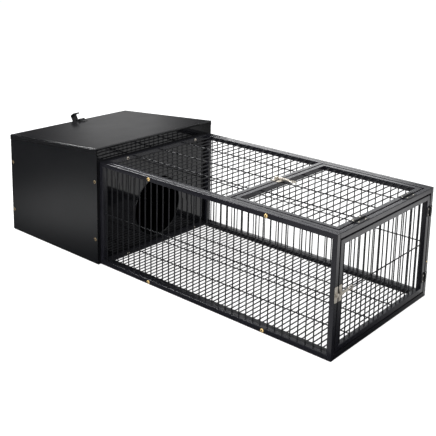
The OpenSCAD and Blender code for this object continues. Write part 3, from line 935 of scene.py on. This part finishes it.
def bolt_rod():
    """Rod with a rounded tip and a drop-shaped wire loop to pull it by."""
    bm = bmesh.new()
    rod = ROD_L - LOOP_L
    profile = [(0.05, 0), (1.7, 0.1), (2.6, 0.7), (ROD_R, 1.8)]
    profile += [(ROD_R, rod - 1.2), (2.4, rod), (0.05, rod + 0.1)]
    add(bm, lathe(profile, 32), shift(1, 0, ROD_AXIS) @ turn("Y", -90))
    reach = 1 - ROD_L
    start = 1 - rod
    outline = [(start + 2.5, 0), (start - 6, LOOP_HALF), (reach + 4, LOOP_HALF)]
    outline += [(reach + 1.5, 0), (reach + 4, -LOOP_HALF), (start - 6, -LOOP_HALF)]
    loop = rounded(outline, [0, 6, 5, 5, 5, 6], 6)
    loops = []
    count = len(loop)
    for i, point in enumerate(loop):
        tangent = (loop[(i + 1) % count] - loop[i - 1]).normalized()
        outward = Vector((tangent.y, -tangent.x, 0))
        here = Vector((point.x, point.y, ROD_AXIS))
        loops.append([here + outward * u + Z * v for u, v in ring(LOOP_WIRE_R, 12)])
    rings(bm, loops, closed_path=True)
    return bm


def bolt_set(name, place, door, rod_body):
    """Base on the door, keeper on the run and rod of one bolt; returns the rivets of base and keeper."""
    base_at = place @ shift(-TUBE / 2, 0, 0)
    keeper_at = place @ shift(DOOR_GAP + TUBE / 2, 0, 0)
    for label, body, at in (("base", door, base_at), ("keeper", "root", keeper_at)):
        bm = bmesh.new()
        add(bm, bolt_bracket(), at)
        piece(f"{name}_{label}_bracket", bm, [ZINC], body, [f"{name}_{label}"])
    bm = bmesh.new()
    add(bm, bolt_rod(), place)
    piece(f"{name}_rod", bm, [ZINC], rod_body, [name])
    rivets = []
    for at in (base_at, keeper_at):
        group = []
        for side in (-1, 1):
            where = at @ Vector((0, side * PLATE_RIVET_Y, LEAF_T))
            group.append((where, (at.to_3x3() @ Z).normalized()))
        rivets.append(group)
    return rivets


top_bolt_place = shift(TOP_DOOR_LOW.x, TOP_BOLT_Y, RUN_H) @ MIRRORED
end_bolt_place = shift(END_X, END_DOOR_LOW.y, END_BOLT_Z) @ turn("Y", 90) @ turn("Z", 90) @ MIRRORED
top_base_rivets, top_keeper_rivets = bolt_set("top_bolt", top_bolt_place, "top_door", "top_bolt_rod")
end_base_rivets, end_keeper_rivets = bolt_set("end_bolt", end_bolt_place, "end_door", "end_bolt_rod")

fixed_rivets = leaf_rivet_places(top_places, PLAIN, PLAIN, TOP_HINGE_L)
fixed_rivets += leaf_rivet_places(end_places, END_FLIP, PLAIN, END_HINGE_L)
top_rivets = leaf_rivet_places(top_places, PLAIN, MIRRORED, TOP_HINGE_L)
end_rivets = leaf_rivet_places(end_places, END_FLIP, MIRRORED, END_HINGE_L)
heads(
    "fixed_rivet_heads", "root", "fixed_hardware_rivets", ZINC,
    fixed_rivets + top_keeper_rivets + end_keeper_rivets, RIVET_HEAD)
heads(
    "top_door_rivet_heads", "top_door", "top_door_rivets", ZINC,
    top_rivets + top_base_rivets, RIVET_HEAD)
heads(
    "end_door_rivet_heads", "end_door", "end_door_rivets", ZINC,
    end_rivets + end_base_rivets, RIVET_HEAD)


# ---------- latch, lid hinge and lid catch ----------

def worn_copy(node, material, width=0.25):
    """Stand-in for a CAD node: the same shape with smooth bends and slightly worn edges."""
    source = frame["nodes"][node]
    mesh = source.data.copy()
    mesh.materials.clear()
    mesh.materials.append(material)
    for polygon in mesh.polygons:
        polygon.material_index = 0
    smooth(mesh, 30)
    obj = bpy.data.objects.new(f"{node}_metal", mesh)
    bpy.context.scene.collection.objects.link(obj)
    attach(obj, body_of(source)[0])
    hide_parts(node)
    edge = obj.modifiers.new("Worn edges", "BEVEL")
    edge.width = width * MM
    edge.segments = 2
    edge.limit_method = "ANGLE"
    edge.angle_limit = math.radians(35)


for node in (
        "lid_catch", "lid_catch_rivets", "latch_base", "latch_base_rivets", "latch_lever", "latch_claw"):
    worn_copy(node, FITTING_PAINT)
worn_copy("lid_hinge_moving_leaf", FITTING_PAINT)
worn_copy("lid_hinge_fixed_leaf", END_PAINT)
for node in ("lid_hinge_pin", "latch_lever_pin", "latch_claw_pin"):
    worn_copy(node, STEEL_PIN, width=0.1)


# ---------- light, floor and camera ----------

# Lengths in this section are in metres, except where MM says otherwise.
UP = (0, 0, 1)
FLOOR_RADIUS = 14.0
FLOOR_DROP = 0.0006
BACKDROP_RADIUS = 13.0
CAMERA_YAW = 0.7100
CAMERA_PITCH = 0.2182
CAMERA_ROLL = 0.0209
CAMERA_LENS = 65.67
CAMERA_SHIFT = -0.26
# Camera's place in millimetres, from the run's front corner beside the nest box
CAMERA_X = 1854.8
CAMERA_Y = -1589.1
CAMERA_Z = 1073.8

# Each entry: direction, where the change starts and ends along it, strength before and after
WORLD_GRADIENTS = [
    ((0.45, 0.85, 0.0), -0.6, 0.8, 0.30, 1.0),
    ((0.0, 0.0, 1.0), 0.10, 0.50, 0.15, 0.75)]


def world_light():
    """Dark studio surround that brightens upwards and towards the back right of the hutch."""
    world = bpy.data.worlds.new("studio")
    bpy.context.scene.world = world
    world.use_nodes = True
    tree = world.node_tree
    tree.nodes.clear()
    out = tree.nodes.new("ShaderNodeOutputWorld")
    place = tree.nodes.new("ShaderNodeTexCoord")
    strength = None
    for direction, low, high, dim, bright in WORLD_GRADIENTS:
        towards = tree.nodes.new("ShaderNodeVectorMath")
        towards.operation = "DOT_PRODUCT"
        towards.inputs[1].default_value = direction
        tree.links.new(place.outputs["Generated"], towards.inputs[0])
        ramp = tree.nodes.new("ShaderNodeMapRange")
        ramp.interpolation_type = "SMOOTHSTEP"
        ramp.inputs["From Min"].default_value = low
        ramp.inputs["From Max"].default_value = high
        ramp.inputs["To Min"].default_value = dim
        ramp.inputs["To Max"].default_value = bright
        tree.links.new(towards.outputs["Value"], ramp.inputs["Value"])
        if strength is None:
            strength = ramp.outputs["Result"]
            continue
        product = tree.nodes.new("ShaderNodeMath")
        product.operation = "MULTIPLY"
        tree.links.new(strength, product.inputs[0])
        tree.links.new(ramp.outputs["Result"], product.inputs[1])
        strength = product.outputs["Value"]
    surround = tree.nodes.new("ShaderNodeBackground")
    surround.inputs["Color"].default_value = (0.97, 0.985, 1.0, 1)
    tree.links.new(strength, surround.inputs["Strength"])
    tree.links.new(surround.outputs["Background"], out.inputs["Surface"])


def reflected_card(name, centre, facing_to, size, brightness, fades=True):
    """Glow that fades outwards and only shows in glossy paint, as a lit paper or sheet of felt would."""
    bm = bmesh.new()
    corners = [(-0.5, -0.5), (0.5, -0.5), (0.5, 0.5), (-0.5, 0.5)]
    bm.faces.new([bm.verts.new((u * size[0], v * size[1], 0)) for u, v in corners])
    obj = object_from(name, bm)
    obj.location = centre
    obj.rotation_euler = Vector(facing_to).to_track_quat("Z", "Y").to_euler()
    obj.visible_camera = False
    obj.visible_diffuse = False
    obj.visible_shadow = False
    material = bpy.data.materials.new(name)
    material.use_nodes = True
    tree = material.node_tree
    tree.nodes.clear()
    out = tree.nodes.new("ShaderNodeOutputMaterial")
    glow = tree.nodes.new("ShaderNodeEmission")
    tree.links.new(glow.outputs["Emission"], out.inputs["Surface"])
    glow.inputs["Strength"].default_value = brightness
    obj.data.materials.append(material)
    if not fades:
        return
    place = tree.nodes.new("ShaderNodeTexCoord")
    mapping = tree.nodes.new("ShaderNodeMapping")
    mapping.inputs["Location"].default_value = (-1, -1, 0)
    mapping.inputs["Scale"].default_value = (2, 2, 0)
    tree.links.new(place.outputs["Generated"], mapping.inputs["Vector"])
    gradient = tree.nodes.new("ShaderNodeTexGradient")
    gradient.gradient_type = "QUADRATIC_SPHERE"
    tree.links.new(mapping.outputs["Vector"], gradient.inputs["Vector"])
    ramp = tree.nodes.new("ShaderNodeMapRange")
    ramp.inputs["From Max"].default_value = 0.5
    ramp.inputs["To Max"].default_value = brightness
    tree.links.new(gradient.outputs["Fac"], ramp.inputs["Value"])
    tree.links.new(ramp.outputs["Result"], glow.inputs["Strength"])


def softbox(name, location, target, width, height, power):
    """Rectangular area light that faces target."""
    data = bpy.data.lights.new(name, "AREA")
    data.shape = "RECTANGLE"
    data.size = width
    data.size_y = height
    data.energy = power
    obj = bpy.data.objects.new(name, data)
    bpy.context.scene.collection.objects.link(obj)
    obj.location = location
    obj.rotation_euler = (Vector(target) - Vector(location)).to_track_quat("-Z", "Y").to_euler()


def floor():
    """Plain pale floor that glows, so that it stays pale under the hutch."""
    bm = bmesh.new()
    bmesh.ops.create_circle(bm, cap_ends=True, segments=96, radius=FLOOR_RADIUS)
    obj = object_from("floor", bm)
    obj.location.z = -FLOOR_DROP
    obj.visible_glossy = False
    material, tree, surface = shader("pale_floor")
    surface.inputs["Base Color"].default_value = (0.25, 0.25, 0.25, 1)
    surface.inputs["Roughness"].default_value = 1.0
    surface.inputs["Specular IOR Level"].default_value = 0.0
    surface.inputs["Emission Color"].default_value = (1, 1, 1, 1)
    surface.inputs["Emission Strength"].default_value = 0.92
    obj.data.materials.append(material)


def backdrop():
    """Plain white surround that only the camera sees, so that every view has the same pale background."""
    bm = bmesh.new()
    bmesh.ops.create_uvsphere(bm, u_segments=48, v_segments=24, radius=BACKDROP_RADIUS)
    obj = object_from("backdrop", bm)
    obj.visible_diffuse = False
    obj.visible_glossy = False
    obj.visible_transmission = False
    obj.visible_shadow = False
    material, tree, surface = shader("white_backdrop")
    surface.inputs["Base Color"].default_value = (0, 0, 0, 1)
    surface.inputs["Specular IOR Level"].default_value = 0.0
    surface.inputs["Emission Color"].default_value = (1, 1, 1, 1)
    surface.inputs["Emission Strength"].default_value = 1.0
    obj.data.materials.append(material)


def camera():
    """Camera in front of the run's free end; its angles are in radians."""
    level = math.cos(CAMERA_PITCH)
    forward = Vector((-math.sin(CAMERA_YAW) * level, math.cos(CAMERA_YAW) * level, -math.sin(CAMERA_PITCH)))
    right = Vector((math.cos(CAMERA_YAW), math.sin(CAMERA_YAW), 0))
    up = right.cross(forward)
    turned_right = right * math.cos(CAMERA_ROLL) + up * math.sin(CAMERA_ROLL)
    turned_up = up * math.cos(CAMERA_ROLL) - right * math.sin(CAMERA_ROLL)
    data = bpy.data.cameras.new("camera")
    data.sensor_width = 36
    data.lens = CAMERA_LENS
    data.shift_y = CAMERA_SHIFT
    data.clip_end = 60
    obj = bpy.data.objects.new("camera", data)
    bpy.context.scene.collection.objects.link(obj)
    axes = Matrix((turned_right, turned_up, -forward)).transposed().to_4x4()
    place = Vector((JOIN_X + CAMERA_X, -RUN_HALF + CAMERA_Y, CAMERA_Z)) * MM
    obj.matrix_world = Matrix.Translation(place) @ axes
    bpy.context.scene.camera = obj


bpy.context.scene.view_settings.view_transform = "Standard"
world_light()
softbox("back_softbox", (-2.3, 2.6, 1.35), (0.1, 0, 0.35), 3.2, 0.5, 12)
softbox("left_softbox", (-2.2, -0.2, 2.4), (0, 0, 0.3), 1.3, 1.3, 170)
softbox("top_softbox", (0.6, -0.2, 3.2), (0, 0, 0.2), 2.4, 1.6, 35)
softbox("front_softbox", (0.5, -2.6, 0.8), (0, -0.2, 0.2), 1.0, 1.0, 30)
# The papers lie at slightly different heights, so that no two share a plane where they overlap.
reflected_card("paper_behind_run", (0.35, 0.64, 0.0), UP, (1.3, 0.74), 0.9, fades=False)
reflected_card("paper_beyond_end", (1.1, 0.7, -0.0002), UP, (1.8, 2.0), 1.6)
reflected_card("paper_before_run", (0.40, -0.85, -0.0003), UP, (1.5, 1.1), 0.5, fades=False)
reflected_card("paper_in_front", (-0.64, -0.62, -0.0002), UP, (1.3, 0.9), 0.68)
reflected_card("glow_behind_lid", (-1.35, 0.86, 0.53), (0.725, -0.676, -0.13), (1.1, 0.8), 0.33)
floor()
backdrop()
camera()
